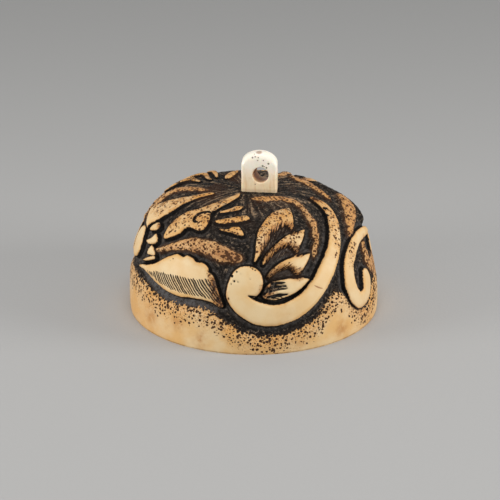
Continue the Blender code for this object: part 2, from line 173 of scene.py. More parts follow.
CLOUD = [(-55, .477), (-56, .544), (-55, .597), (-53, .645), (-47, .696), (-41, .771), (-36, .851),
         (-26, .922), (-19, .892), (-26, .800), (-31, .728), (-33.5, .700), (-31.5, .672),
         (-29.8, .640), (-29.5, .608), (-31.5, .579), (-35.2, .574), (-40, .578), (-43.5, .560),
         (-45.5, .527), (-50, .496)]
UPPER_RIB = [(-77, .459), (-91, .513), (-85, .594), (-79, .677), (-74, .755), (-73, .821),
             (-67, .836), (-66, .752), (-66, .690), (-66, .620), (-69, .552), (-76, .480)]
EDGE_PLATE = [(-81, .450), (-77, .443), (-74, .396), (-74, .342), (-78, .297), (-85, .295),
              (-86, .358), (-85, .415)]
PEBBLES = [
    [(-71, .466), (-71, .490), (-67, .521), (-63, .508), (-66, .482)],
    [(-69, .413), (-65, .441), (-63, .470), (-59, .444), (-62, .420), (-66, .410)],
    [(-62, .410), (-57, .386), (-60, .372), (-64, .368)],
    [(-67, .318), (-63, .347), (-57, .374), (-57, .360), (-62, .336)],
]
WEDGES = [
    [(-19, .600), (-13, .606), (-11, .619), (-6, .627), (-4, .606), (-3, .579), (-7, .583), (-12, .590)],
    [(-25, .647), (-18, .670), (-10, .690), (-1, .705), (2, .678), (-5, .662), (-14, .648), (-20, .640)],
]

# Soft ridges left standing in the ground: stations as for strokes, and the height of the top
SOFT_RIDGES = [
    ([(-57, .405, .012), (-52, .434, .015), (-46, .458, .019), (-39, .484, .028), (-32, .498, .034),
      (-23, .495, .040), (-14, .474, .040), (-6, .462, .020)], -RIDGE_TOP),
    ([(22, .866, .026), (39, .843, .030), (54, .811, .026), (58.5, .762, .021), (58, .727, .019),
      (55, .685, .018), (51, .633, .018), (50, .595, .019), (47, .560, .019), (44, .525, .017),
      (41, .488, .016), (38, .457, .014), (36, .434, .009)], -RIDGE_TOP),
    ([(132, .714, .014), (126, .708, .026), (120, .701, .030), (114, .692, .028), (106, .675, .024),
      (99, .652, .020), (93, .628, .016), (91, .609, .010)], 0.0),
    ([(104, .530, .030), (97, .515, .040), (88, .500, .042), (82, .484, .036), (75, .463, .026),
      (69, .448, .012)], 0.0),
    ([(81, .375, .014), (78, .340, .026), (77, .305, .030), (78, .265, .030), (84, .225, .040),
      (100, .190, .050)], -RIDGE_TOP),
    ([(-92, .527, .012), (-98, .590, .024), (-101, .645, .030), (-99, .700, .028), (-93, .775, .022),
      (-86, .815, .012)], -RIDGE_TOP),
]

# The ground left uncut over the right shoulder, where it bulges behind the hook
SHOULDER_GROUND = [(98, .405, .010), (100, .425, .022), (103, .450, .030), (107, .482, .036),
                   (111, .512, .034), (117, .572, .034), (121, .605, .036), (126, .640, .034),
                   (133, .672, .020)]

# Where the carved ground starts above the plain foot: azimuth and climb
GROUND_LINE = [(-80, .185), (-62, .181), (-48, .157), (-35, .159), (-25, .168), (-18, .150),
               (-12, .103), (-4, .063), (4, .044), (14, .051), (21, .071), (29, .096), (36, .154),
               (42, .205), (47, .184), (53, .098), (61, .048), (69, .055), (77, .105), (88, .155),
               (100, .165)]

# Lines engraved in the motifs: azimuth, climb and half-width
ENGRAVED = [
    [(-31, .699, .003), (-36.5, .694, .008), (-40.6, .676, .009), (-42, .650, .008), (-41.4, .625, .007),
     (-39.4, .612, .006), (-37.5, .617, .003)],
    [(9.8, .338, .007), (13.2, .341, .0050), (14.9, .341, .0040), (16.4, .340, .0025)],
    [(9.6, .322, .006), (12.3, .325, .0045), (14.7, .326, .0040), (16.9, .326, .0025)],
    [(8.6, .304, .005), (10.8, .309, .0045), (13.9, .313, .0040), (17.1, .314, .0025)],
    [(7.4, .278, .005), (10.5, .284, .0065), (13.3, .286, .0065), (16.8, .284, .003)],
    [(6.2, .264, .002), (8.6, .268, .0025), (11.9, .271, .002), (14, .272, .001)],
    [(5.5, .296, .010), (7.5, .310, .006), (9.5, .325, .003)],
    [(5.4, .268, .007), (2.6, .274, .009), (.4, .280, .007), (-1.8, .289, .002)],
]

# The petals' hollow sides, where the cuts feather out, and the place the cuts fan out from
HOLLOWS = [
    [(8, .500, .014), (12, .545, .024), (17, .590, .030), (24, .610, .030), (29, .600, .028),
     (31, .575, .020)],
    [(10, .455, .012), (15, .482, .020), (20, .497, .026), (24, .492, .028), (27, .472, .020)],
    [(9, .368, .012), (15, .392, .020), (19, .396, .026), (22, .386, .028), (24, .364, .020)],
]
FAN_BASE = (5.7, .349)

# Small dark pits, and a fine crack across the large scroll with three scratches on the foot
PITS = [
    [(-6.8, .395, .0042)], [(-9.2, .376, .0060)], [(-8.2, .352, .0045)], [(-6.6, .351, .0026)],
    [(-9.7, .338, .0034)], [(-5, .382, .0022)], [(-.3, .364, .0022)], [(.2, .419, .0040)],
    [(1.2, .409, .0036)], [(2.3, .403, .0032)], [(70.5, .612, .0095), (71.5, .603, .0080)],
    [(63.8, .588, .0100), (65, .580, .0085)], [(50.6, .550, .0050)], [(59.7, .692, .0044)],
    [(-48.8, .530, .0055)], [(-51.8, .519, .0045)], [(-44.8, .575, .0045)], [(-41.5, .581, .0040)],
    [(-47.6, .552, .0035)], [(-43.0, .404, .0030)], [(-44.5, .392, .0020)], [(-24.8, .050, .0030)],
]
CRACKS = [
    [(30.7, .303, .0015), (32.3, .294, .0030), (34.9, .282, .0015)],
    [(-11.5, .028, .0006), (-8.0, .050, .0010), (-5.8, .062, .0006)],
    [(-9.6, .022, .0006), (-6.4, .042, .0010), (-3.6, .056, .0006)],
    [(-7.2, .018, .0006), (-4.2, .036, .0010), (-2.6, .044, .0006)],
]

# Soft brown stains on the foot band
STAINS = [
    [(-25, .045, .030), (-24, .070, .022)], [(-36.5, .085, .020), (-37, .120, .030)],
    [(-55, .090, .045)], [(44, .060, .040)], [(62, .100, .040)], [(100, .080, .050)],
    [(150, .060, .045)], [(-110, .070, .050)], [(-160, .090, .040)],
]

# Motifs, or parts of them, whose tops are stippled brown
SMUDGES = [
    [(-20.5, .400, .014), (-18.5, .345, .030), (-16.5, .285, .030), (-15, .240, .016)],
    [(52, .440, .016), (60, .515, .020), (68, .570, .018), (77, .665, .012)],
    [(47.5, .395, .004), (49.5, .415, .006)],
    [(57, .335, .018), (61, .375, .018), (67, .402, .012)],
    [(5, .500, .020), (9, .585, .026), (17, .655, .034), (28, .692, .040), (38, .690, .026)],
    [(17, .525, .020), (27, .530, .022), (34, .545, .014)],
    [(-55, .520, .030), (-52, .600, .045), (-44, .660, .045), (-34, .620, .040), (-38, .780, .040)],
    [(-84, .560, .035), (-76, .640, .040), (-70, .760, .040)],
    [(-72, .445, .012), (-66, .345, .008)], [(-22, .612, .020), (-4, .606, .020)],
    [(-24, .662, .030), (0, .690, .030)],
]

# Parts stippled so thickly that little of the cream is left
THICK_STIPPLE = [
    [(-19.0, .352, .008), (-16.5, .300, .024), (-14.8, .250, .028)],
    [(6.3, .298, .022), (8.0, .316, .024), (10.5, .332, .016)],
    [(-17, .484, .018), (-12, .470, .026), (-7, .462, .022)], [(-32, .472, .006), (-21, .458, .010)],
    [(-104, .575, .012), (-96, .520, .012)], [(-52, .398, .006), (-44, .434, .006)],
    [(78.5, .690, .020), (76.5, .662, .014)],
]

# Fine slanting lines on the lower half of the leaf, bowed a little about one climb
HATCH_LEAN = 86.0
HATCH_BOW = 260.0
HATCH_BOW_CLIMB = 0.30
HATCH_SPACING = 1.62
HATCH_EDGE = (-0.10 * MM, 0.45 * MM)
HATCH_TOP = [(-61, .290), (-56, .306), (-50, .322), (-40, .335), (-31, .339), (-21, .352), (-16, .30)]
HATCH_FOOT = [(-61, .289), (-55, .278), (-49, .267), (-41, .257), (-33, .256), (-25, .262), (-16, .246)]

# The smooth dark channel under the leaf, which is given a painted grey sheen
CHANNEL = [(-66, .262, .010), (-58, .247, .016), (-48, .222, .018), (-38, .214, .018),
           (-28, .222, .014), (-18, .205, .012)]


def smooth_step(value, low, high):
    """0 where the value is below low, 1 where it is above high, smooth between."""
    share = np.clip((value - low) / (high - low), 0.0, 1.0)
    return share * share * (3.0 - 2.0 * share)


def smooth_fall(value, low, high):
    """1 where the value is below low, 0 where it is above high, smooth between."""
    return 1.0 - smooth_step(value, low, high)


class DomeForm:
    """The smooth dome before it is carved, with places on it given by azimuth and climb."""

    PROFILE_STEPS = 4000
    NUDGE = 0.002

    def __init__(self):
        turn = np.linspace(0.0, math.pi / 2, self.PROFILE_STEPS)
        self.height = DOME_HEIGHT * np.sin(turn) ** (2 / SHOULDER_FULLNESS)
        radius = DOME_DIAMETER / 2 * np.cos(turn) ** (2 / SIDE_FULLNESS)
        radius[-1] = 0.0
        step = np.hypot(np.diff(radius), np.diff(self.height))
        run = np.concatenate([[0.0], np.cumsum(step)])
        self.length = run[-1]
        self.climb = run / run[-1]
        self.radius = radius - FOOT_EASE * np.exp(-self.height / FOOT_EASE_HEIGHT)
        self.radius[-1] = 0.0

    def place(self, azimuth, climb):
        """Points on the smooth dome."""
        turn = np.radians(azimuth)
        radius = np.interp(climb, self.climb, self.radius)
        height = np.interp(climb, self.climb, self.height)
        lean = CROWN_LEAN * (height / DOME_HEIGHT) ** 2
        return np.stack([radius * np.sin(turn) + lean, -radius * np.cos(turn), height], -1)

    def outward(self, azimuth, climb):
        """Outward directions of the smooth dome, from two places close above and below."""
        low = np.clip(climb - self.NUDGE, 0.0, 1.0)
        high = np.clip(climb + self.NUDGE, 0.0, 1.0)
        across = np.interp(high, self.climb, self.height) - np.interp(low, self.climb, self.height)
        inward = np.interp(low, self.climb, self.radius) - np.interp(high, self.climb, self.radius)
        size = np.hypot(across, inward)
        turn = np.radians(azimuth)
        return np.stack([across * np.sin(turn), -across * np.cos(turn), inward], -1) / size[:, None]


def curve_through(stations, closed):
    """Points along one smooth curve through the stations."""
    points = np.array(stations, float)
    count = len(points)
    spans = count if closed else count - 1
    share = np.linspace(0.0, 1.0, STEPS_BETWEEN_STATIONS, endpoint=False)[:, None]
    pieces = []
    for span in range(spans):
        ends = [span - 1, span, span + 1, span + 2]
        if closed:
            ends = [end % count for end in ends]
        else:
            ends = [min(max(end, 0), count - 1) for end in ends]
        before, start, stop, after = points[ends]
        pieces.append(0.5 * (2 * start + (stop - before) * share
                             + (2 * before - 5 * start + 4 * stop - after) * share ** 2
                             + (3 * start - before - 3 * stop + after) * share ** 3))
    if not closed:
        pieces.append(points[-1:])
    return np.concatenate(pieces)


def mirrored(stations):
    """The same stations on the other side of the mirror azimuth."""
    return [(2 * MIRROR_AZIMUTH - station[0],) + tuple(station[1:]) for station in stations]


def both_sides(shapes):
    """The given shapes at the front, and again mirrored at the back."""
    return shapes + [mirrored(shape) for shape in shapes]


def turned_from(azimuth, centre):
    """Azimuths as turns from a centre, between -180 and 180."""
    return (azimuth - centre + 180.0) % 360.0 - 180.0


def folded(azimuth):
    """Azimuths of the back as those of the front that they mirror."""
    return MIRROR_AZIMUTH - np.abs(turned_from(azimuth, MIRROR_AZIMUTH))


def near_only(points, line, reach):
    """Which points lie within reach of the box around a line."""
    low = line.min(0) - reach
    high = line.max(0) + reach
    return np.all((points > low) & (points < high), axis=1)


class Surface:
    """Points on the smooth dome, with how far each lies from the carved shapes."""

    FAR = 2.5 * MM

    def __init__(self, form, azimuth, climb):
        self.form = form
        self.azimuth = azimuth
        self.climb = climb
        self.points = form.place(azimuth, climb)

    def from_stroke(self, stations):
        """How far each point lies outside a stroke of changing width; inside is below 0."""
        line = curve_through(stations, closed=False)
        spine = self.form.place(line[:, 0], line[:, 1])
        half_width = np.maximum(line[:, 2], 0.0) * self.form.length
        away = np.full(len(self.points), self.FAR)
        near = near_only(self.points, spine, self.FAR + half_width.max())
        points = self.points[near]
        nearest = np.full(len(points), self.FAR)
        for centre, reach in zip(spine, half_width):
            nearest = np.minimum(nearest, np.linalg.norm(points - centre, axis=1) - reach)
        away[near] = nearest
        return away

    def from_outline(self, stations):
        """How far each point lies outside a closed outline; inside is below 0."""
        line = curve_through(stations, closed=True)
        edge = self.form.place(line[:, 0], line[:, 1])
        away = np.full(len(self.points), self.FAR)
        near = near_only(self.points, edge, self.FAR)
        points = self.points[near]
        climb = self.climb[near]
        nearest = np.full(len(points), self.FAR)
        for start, stop in zip(np.roll(edge, 1, axis=0), edge):
            side = stop - start
            share = np.clip((points - start) @ side / max(side @ side, 1e-18), 0.0, 1.0)
            gap = np.linalg.norm(points - start - share[:, None] * side, axis=1)
            nearest = np.minimum(nearest, gap)
        middle = line[:, 0].mean()
        across = turned_from(self.azimuth[near], middle)
        inside = np.zeros(len(points), bool)
        for start, stop in zip(np.roll(line, 1, axis=0), line):
            spans = (start[1] > climb) != (stop[1] > climb)
            if spans.any():
                slope = (stop[0] - start[0]) / (stop[1] - start[1])
                inside ^= spans & (across < start[0] - middle + (climb - start[1]) * slope)
        away[near] = np.where(inside, -nearest, nearest)
        return away

    def from_nearest(self, strokes, outlines=()):
        """How far each point lies outside the nearest of the shapes."""
        nearest = np.full(len(self.points), self.FAR)
        for stations in strokes:
            nearest = np.minimum(nearest, self.from_stroke(stations))
        for stations in outlines:
            nearest = np.minimum(nearest, self.from_outline(stations))
        return nearest


def noise_at(points, size, seed):
    """Smooth noise between about -1 and 1, in patches of the given size."""
    shift = Vector((seed * 7.3, seed * 3.1, seed * 5.7))
    return np.array([noise.noise(Vector(point) / size + shift) for point in points])


def dome_blank():
    """The upper half of a finely divided cube, whose points are then laid evenly over the dome."""
    work = bmesh.new()
    bmesh.ops.create_cube(work, size=2.0)
    bmesh.ops.subdivide_edges(work, edges=work.edges[:], cuts=DOME_CELLS - 1, use_grid_fill=True)
    lower = [face for face in work.faces if face.calc_center_median().z < 0]
    bmesh.ops.delete(work, geom=lower, context="FACES")
    return work


def grid_places(work):
    """Azimuth and climb for each point of the blank, evenly spread in angle."""
    corner = np.array([vert.co for vert in work.verts])
    even = np.tan(corner * math.pi / 4)
    azimuth = np.degrees(np.arctan2(even[:, 0], -even[:, 1]))
    fall = np.degrees(np.arctan2(np.hypot(even[:, 0], even[:, 1]), even[:, 2]))
    return azimuth, np.clip(1.0 - fall / 90.0, 0.0, 1.0)


def hand_wander(form, azimuth, climb):
    """Shifts places a little, so that no carved edge runs quite true."""
    points = form.place(azimuth, climb)
    coarse, fine = KNIFE_WANDER_PATCHES
    along = noise_at(points, coarse, 1) + 0.5 * noise_at(points, fine, 2)
    upward = noise_at(points, coarse, 3) + 0.5 * noise_at(points, fine, 4)
    radius = np.maximum(np.hypot(points[:, 0], points[:, 1]), KNIFE_WANDER_LEAST_RADIUS)
    turned = azimuth + np.degrees(KNIFE_WANDER * along / radius)
    raised = climb + KNIFE_WANDER * upward / form.length
    return turned, np.clip(raised, 0.0, 1.0)


def ground_start(azimuth):
    """Climb at which the carved ground starts."""
    line = np.array(GROUND_LINE)
    return np.interp(folded(azimuth), line[:, 0], line[:, 1])


def back_ridges():
    """The leaf's soft ridge and the lower part of the scroll's, as they return at the back."""
    (leaf_ridge, leaf_top), (scroll_ridge, scroll_top) = SOFT_RIDGES[:2]
    short_ridge = scroll_ridge[BACK_RIDGE_FROM_STATION:]
    return [(mirrored(leaf_ridge), leaf_top), (mirrored(short_ridge), scroll_top)]


def swell(surface):
    """How far the right shoulder bulges out, carving and all."""
    centre = surface.form.place(*(np.array([part]) for part in SWELL_PLACE))
    away = np.linalg.norm(surface.points - centre, axis=1)
    return SWELL_HEIGHT * smooth_fall(away, 0.0, SWELL_REACH)


def fan_angle(surface):
    """The direction in which each point lies from the petals' base."""
    across, up = FAN_BASE
    radius = np.interp(surface.climb, surface.form.climb, surface.form.radius)
    along = np.radians(folded(surface.azimuth) - across) * radius
    return np.arctan2((surface.climb - up) * surface.form.length, along)


def crown_spokes(surface):
    """Fine scraped lines that run in towards the loop over the crown."""
    turn = np.radians(surface.azimuth)
    wheel = np.stack([np.cos(turn), np.sin(turn), 0.25 * surface.climb], -1)
    wide, narrow = SPOKE_WIDTHS
    lines = noise_at(wheel, wide, 8) + 0.6 * noise_at(wheel, narrow, 9)
    return lines * smooth_step(surface.climb, *SPOKE_CLIMBS)


def leaf_hatching(surface):
    """Where the leaf's fine lines lie: a running phase, and 1 inside the hatched half."""
    side = folded(surface.azimuth)
    top = np.array(HATCH_TOP)
    foot = np.array(HATCH_FOOT)
    upper = np.interp(side, top[:, 0], top[:, 1])
    lower = np.interp(side, foot[:, 0], foot[:, 1])
    within = np.minimum(upper - surface.climb, surface.climb - lower) * surface.form.length
    run = (side > top[0, 0]) & (side < top[-1, 0])
    bow = HATCH_BOW * (surface.climb - HATCH_BOW_CLIMB) ** 2
    return {"hatch": (side + HATCH_LEAN * surface.climb - bow) / HATCH_SPACING,
            "hatched": smooth_step(within, *HATCH_EDGE) * run}


def in_millimetres(away):
    """Distances in millimetres, cut off at one either way."""
    return np.clip(away, -1.0 * MM, 1.0 * MM) / MM


def carve(surface):
    """The relief's height at each point, and what the stain and the finish need to know."""
    climb = surface.climb
    strokes = both_sides([BIG_SCROLL, HOOK]) + CROWN_RIBS + SIDE_SHOOTS
    outlines = both_sides(PETALS[1:] + [LEAF]) + [PETALS[0], CLOUD, UPPER_RIB, EDGE_PLATE]
    outlines += PEBBLES + WEDGES
    cut = surface.from_nearest(strokes, outlines)
    start = ground_start(surface.azimuth)
    rough = noise_at(surface.points, GROUND_LUMPS, 5)
    fine = noise_at(surface.points, GROUND_GRAIN, 6)

    # The cut ground, and what was left standing in it
    carved = smooth_step(climb, start, start + RAMP_CLIMB)
    depth = GROUND_DEPTH * carved
    depth *= 1.0 - (1.0 - CROWN_GROUND_SHARE) * smooth_step(climb, CROWN_EASE_FROM, CROWN_EASE_TO)
    level = -depth + GROUND_TOOLING * carved * (rough + 0.9 * fine)
    uncut = smooth_fall(surface.from_stroke(SHOULDER_GROUND), -SOFT_RUN, SOFT_RUN)
    level = level + (GROUND_TOOLING * fine - level) * uncut
    mound = np.zeros(len(climb))
    for stations, top in SOFT_RIDGES + back_ridges():
        away = surface.from_stroke(stations) + RIDGE_WANDER * rough
        share = smooth_fall(away, -SOFT_RUN, SOFT_RUN)
        level = level + (top + GROUND_TOOLING * fine - level) * share
        mound = np.maximum(mound, share)

    # The motifs, with softer edges at the hollows, rounded tops and engraved lines
    hollows = HOLLOWS + [mirrored(hollow) for hollow in HOLLOWS[1:]]
    feather = smooth_fall(surface.from_nearest(hollows), *HOLLOW_FADE)
    outside = smooth_step(cut, -HOLLOW_FEATHER * feather, EDGE_RUN * (1.0 + feather))
    rounding = MOTIF_ROUNDING * smooth_fall(-cut, 0.0, MOTIF_ROUNDING_RUN) * carved
    height = level * outside - rounding * (1.0 - outside)
    lines = surface.from_nearest(both_sides(ENGRAVED))
    pits = surface.from_nearest(both_sides(PITS))
    engraved = smooth_fall(np.minimum(lines, pits), *LINE_EDGE)
    height -= LINE_DEPTH * engraved * (cut < 0)

    below, above = INK_FADE
    told = {
        "cut": cut / MM,
        "lines": in_millimetres(lines),
        "pits": in_millimetres(pits),
        "crack": in_millimetres(surface.from_nearest(CRACKS)),
        "ink": smooth_step(climb + INK_WANDER * rough, start - below, start + above),
        "mound": mound,
        "feather": feather,
        "fan": fan_angle(surface),
        "spokes": crown_spokes(surface),
        **leaf_hatching(surface),
    }
    for name, marks, inner, outer in (("stain", STAINS, -1.2 * MM, 0.9 * MM),
                                      ("smudge", both_sides(SMUDGES), -0.5 * MM, 0.7 * MM),
                                      ("thick", both_sides(THICK_STIPPLE), -0.3 * MM, 0.8 * MM),
                                      ("channel", [CHANNEL], -0.2 * MM, 0.35 * MM)):
        told[name] = smooth_fall(surface.from_nearest(marks), inner, outer)
    return height + swell(surface), told


def close_foot(work, form):
    """Rings across the flat foot, from the rim to the middle."""
    ring = [edge for edge in work.edges if edge.is_boundary]
    rim = np.interp(0.0, form.climb, form.radius)
    for step in range(FOOT_RINGS):
        new = bmesh.ops.extrude_edge_only(work, edges=ring)["geom"]
        verts = [part for part in new if isinstance(part, bmesh.types.BMVert)]
        ring = [part for part in new if isinstance(part, bmesh.types.BMEdge)]
        share = 1.0 - (step + 1) / (FOOT_RINGS + FOOT_MIDDLE)
        for vert in verts:
            flat = Vector((vert.co.x, vert.co.y, 0.0))
            vert.co = flat.normalized() * rim * share
    bmesh.ops.contextual_create(work, geom=ring)


def keep(work, values):
    """Keeps a number for each point under each name; points made later copy their neighbour's."""
    for name, numbers in values.items():
        layer = work.verts.layers.float.new(name)
        for vert, number in zip(work.verts, numbers):
            vert[layer] = number


def add_piece(work, name, finish, node):
    """Makes the finished mesh a piece of the model, in place of one of its plain solids."""
    bmesh.ops.recalc_face_normals(work, faces=work.faces)
    mesh = bpy.data.meshes.new(name)
    work.to_mesh(mesh)
    work.free()
    mesh.shade_smooth()
    mesh.set_sharp_from_angle(angle=SMOOTH_ANGLE)
    mesh.materials.append(finish)
    piece = bpy.data.objects.new(name, mesh)
    bpy.context.scene.collection.objects.link(piece)
    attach(piece, "root")
    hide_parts(node)


def make_carved_dome(finish):
    """The dome with its whole relief, on a fine grid laid over the smooth form."""
    form = DomeForm()
    work = dome_blank()
    azimuth, climb = grid_places(work)
    height, told = carve(Surface(form, *hand_wander(form, azimuth, climb)))
    told["climb"] = climb
    shaped = form.place(azimuth, climb) + form.outward(azimuth, climb) * height[:, None]
    shaped[climb <= 0.0, 2] = 0.0
    for vert, place in zip(work.verts, shaped):
        vert.co = place
    keep(work, told)
    close_foot(work, form)
    add_piece(work, "antler_dome", finish, "carved_dome")


def loop_outline():
    """The loop's front outline about the bore, evenly stepped along its length."""
    half = LOOP_WIDTH / 2
    low = -BORE_ABOVE_CROWN - LOOP_ROOT
    turns = np.linspace(0.0, math.pi, LOOP_ARCH_POINTS)
    arch = [(half * math.cos(turn), LOOP_SPRING + LOOP_ARCH_RISE * math.sin(turn)) for turn in turns]
    corners = np.array([(half, low)] + arch + [(-half, low), (half, low)]) - (BORE_SHIFT, 0.0)
    run = np.concatenate([[0.0], np.cumsum(np.hypot(*np.diff(corners, axis=0).T))])
    even = np.linspace(0.0, run[-1], LOOP_ROUND_STEPS, endpoint=False)
    return np.stack([np.interp(even, run, corners[:, 0]), np.interp(even, run, corners[:, 1])], -1)


def loop_section(edge):
    """One section of the loop, from the bore's front mouth round the outer side and back.

    Each point is its share of the way from bore to outer side, its shift along that way, and
    its place through the thickness. The outer side is rounded by the given edge.
    """
    half = LOOP_THICKNESS / 2
    turns = np.linspace(0.0, math.pi / 2, LOOP_CORNER_STEPS + 1)
    front = []
    for turn in turns[::-1]:
        front.append((0.0, BORE_MOUTH * (1 - math.sin(turn)), -half + BORE_MOUTH * (1 - math.cos(turn))))
    for share in np.linspace(0.0, 1.0, LOOP_FACE_STEPS + 1)[1:-1]:
        front.append((share, BORE_MOUTH * (1 - share) - edge * share, -half))
    for turn in turns:
        front.append((1.0, -edge * (1 - math.sin(turn)), -half + edge * (1 - math.cos(turn))))
    for share in np.linspace(-1.0, 0.0, LOOP_CORNER_STEPS)[1:]:
        front.append((1.0, 0.0, share * (half - edge)))
    back = [(share, shift, -through) for share, shift, through in front[-2::-1]]
    wall = [(0.0, 0.0, share * (half - BORE_MOUTH))
            for share in np.linspace(1.0, -1.0, LOOP_WALL_STEPS + 1)[1:-1]]
    return front + back + wall


def make_cord_loop(finish):
    """A flat arched tongue with a softly worn slanting bore, swept round it from one section."""
    bore = BORE_DIAMETER / 2
    outline = loop_outline()
    rises = smooth_step(outline[:, 1], LOOP_SPRING, LOOP_SPRING + LOOP_ARCH_RISE)
    sections = [loop_section(LOOP_EDGE + (LOOP_CREST_EDGE - LOOP_EDGE) * rise) for rise in rises]
    work = bmesh.new()
    station = work.verts.layers.int.new("station")
    in_bore = work.verts.layers.float.new("in_bore")
    ring = []
    for index, (share, shift, through) in enumerate(sections[0]):
        vert = work.verts.new((bore * (1 + share) + shift, through, 0.0))
        vert[station] = index
        ring.append(vert)
    edges = [work.edges.new(pair) for pair in zip(ring, ring[1:] + ring[:1])]
    bmesh.ops.spin(work, geom=ring + edges, cent=(0, 0, 0), axis=(0, 1, 0),
                   angle=math.tau, steps=LOOP_ROUND_STEPS, use_merge=True)
    for vert in work.verts:
        turn = round(math.atan2(vert.co.z, vert.co.x) / math.tau * LOOP_ROUND_STEPS) % LOOP_ROUND_STEPS
        outer = Vector(outline[turn])
        share, shift, through = sections[turn][vert[station]]
        way = outer.normalized() * (bore + (outer.length - bore) * share + shift)
        slant = through * math.tan(BORE_SLANT) * (1.0 - share)
        vert.co = (way.x + slant, through, way.y)
        vert[in_bore] = (share == 0.0) * (LOOP_THICKNESS / 2 - abs(through)) / MM
    spots = [vert.co.copy() for vert in work.verts]
    worn = np.stack([noise_at(spots, LOOP_WEAR_PATCH, seed) for seed in LOOP_WEAR_SEEDS], -1)
    for vert, shift in zip(work.verts, LOOP_WEAR * worn):
        vert.co += Vector(shift)
    stand = Matrix.Translation((LOOP_OFFSET, 0.0, DOME_HEIGHT)) @ Matrix.Rotation(LOOP_TURN, 4, "Z")
    stand = stand @ Matrix.Translation((BORE_SHIFT, 0.0, BORE_ABOVE_CROWN))
    bmesh.ops.transform(work, matrix=stand, verts=work.verts)
    add_piece(work, "bone_loop", finish, "cord_loop")


class Finish:
    """A material being made, with short calls that add and join its nodes."""

    def __init__(self, name):
        self.material = bpy.data.materials.new(name)
        self.material.use_nodes = True
        self.nodes = self.material.node_tree.nodes
        self.links = self.material.node_tree.links
        self.shader = self.nodes["Principled BSDF"]

    def feed(self, socket, value):
        """Joins another node's output to a socket, or sets a number or colour on it."""
        if isinstance(value, bpy.types.NodeSocket):
            self.links.new(value, socket)
        elif isinstance(value, tuple) and len(socket.default_value) == 4:
            socket.default_value = (*value, 1.0)
        else:
            socket.default_value = value

    def node(self, kind, fed, **settings):
        """A new node, with its settings made first and then its sockets fed."""
        node = self.nodes.new(kind)
        for setting, choice in settings.items():
            setattr(node, setting, choice)
        for name, value in fed.items():
            self.feed(node.inputs[name], value)
        return node

    def shows(self, looks):
        """Feeds the shader's own sockets, each by its name."""
        for name, value in looks.items():
            self.feed(self.shader.inputs[name], value)

    def raised_by(self, height, distance):
        """Fine relief: a bump as high as the distance where the height is 1."""
        bump = self.node("ShaderNodeBump", {"Height": height, "Distance": distance})
        self.shows({"Normal": bump.outputs["Normal"]})

    def coordinates(self, scale=(1.0, 1.0, 1.0)):
        """Object coordinates in millimetres, stretched by a scale along each axis."""
        spot = self.node("ShaderNodeTexCoord", {}).outputs["Object"]
        fed = {"Vector": spot, "Scale": [part / MM for part in scale]}
        return self.node("ShaderNodeMapping", fed).outputs["Vector"]

    def along(self, place, axis):
        """How far a place lies along one axis."""
        return self.node("ShaderNodeSeparateXYZ", {"Vector": place}).outputs[axis]

    def told(self, name):
        """A number that was kept for each point of the mesh."""
        return self.node("ShaderNodeAttribute", {}, attribute_name=name).outputs["Fac"]

    def sums(self, operation, total, others):
        """One number worked out from several, taken in turn."""
        for other in others:
            total = self.node("ShaderNodeMath", {0: total, 1: other}, operation=operation).outputs[0]
        return total

    def times(self, first, *others):
        return self.sums("MULTIPLY", first, others)

    def plus(self, first, *others):
        return self.sums("ADD", first, others)

    def less(self, first, *others):
        return self.sums("SUBTRACT", first, others)

    def most(self, first, *others):
        return self.sums("MAXIMUM", first, others)

    def power(self, value, exponent):
        return self.sums("POWER", value, [exponent])

    def spread(self, value, low, high, start=0.0, stop=1.0):
        """Start where the value is below low, stop where it is above high, smooth between."""
        fed = {"Value": value, "From Min": low, "From Max": high, "To Min": start, "To Max": stop}
        return self.node("ShaderNodeMapRange", fed, interpolation_type="SMOOTHSTEP").outputs["Result"]

    def fall(self, value, low, high, start=1.0):
        """Start where the value is below low, 0 where it is above high, smooth between."""
        return self.spread(value, low, high, start, 0.0)

    def between(self, share, first, second, kind="FLOAT"):
        """The first number at a share of 0, the second at 1."""
        fed = {"Factor": share, "A": first, "B": second}
        return self.node("ShaderNodeMix", fed, data_type=kind).outputs["Result"]

    def coated(self, colour, *coats):
        """A colour with others laid over it in turn, each given as its share and its colour."""
        for share, coat in coats:
            colour = self.between(share, colour, coat, "RGBA")
        return colour

    def mottle(self, place, scale, detail=4.0, roughness=0.55, distortion=0.0):
        """Cloudy noise about 0.5."""
        fed = {"Vector": place, "Scale": scale, "Detail": detail, "Roughness": roughness,
               "Distortion": distortion}
        return self.node("ShaderNodeTexNoise", fed).outputs["Fac"]

    def streaks(self, along, scale, detail):
        """Noise about 0.5 that changes only with the given number."""
        fed = {"W": along, "Scale": scale, "Detail": detail}
        return self.node("ShaderNodeTexNoise", fed, noise_dimensions="1D").outputs["Fac"]

    def wander(self, value, size):
        """Noise about 0.5 turned into a wander of the given size about 0."""
        return self.times(self.less(value, 0.5), size)

    def dots(self, place, scale):
        """Scattered centres: the distance from the nearest one, and two chance numbers for it."""
        centres = self.node("ShaderNodeTexVoronoi", {"Vector": place, "Scale": scale}).outputs
        chance = self.node("ShaderNodeSeparateColor", {"Color": centres["Color"]}).outputs
        return centres["Distance"], chance["Red"], chance["Green"]

    def mark(self, place, centre, reach):
        """1 close to a centre, falling to 0 at the reach round it, both in millimetres."""
        away = self.node("ShaderNodeVectorMath", {0: place, 1: centre}, operation="DISTANCE")
        return self.fall(away.outputs["Value"], reach * MARK_HEART, reach)
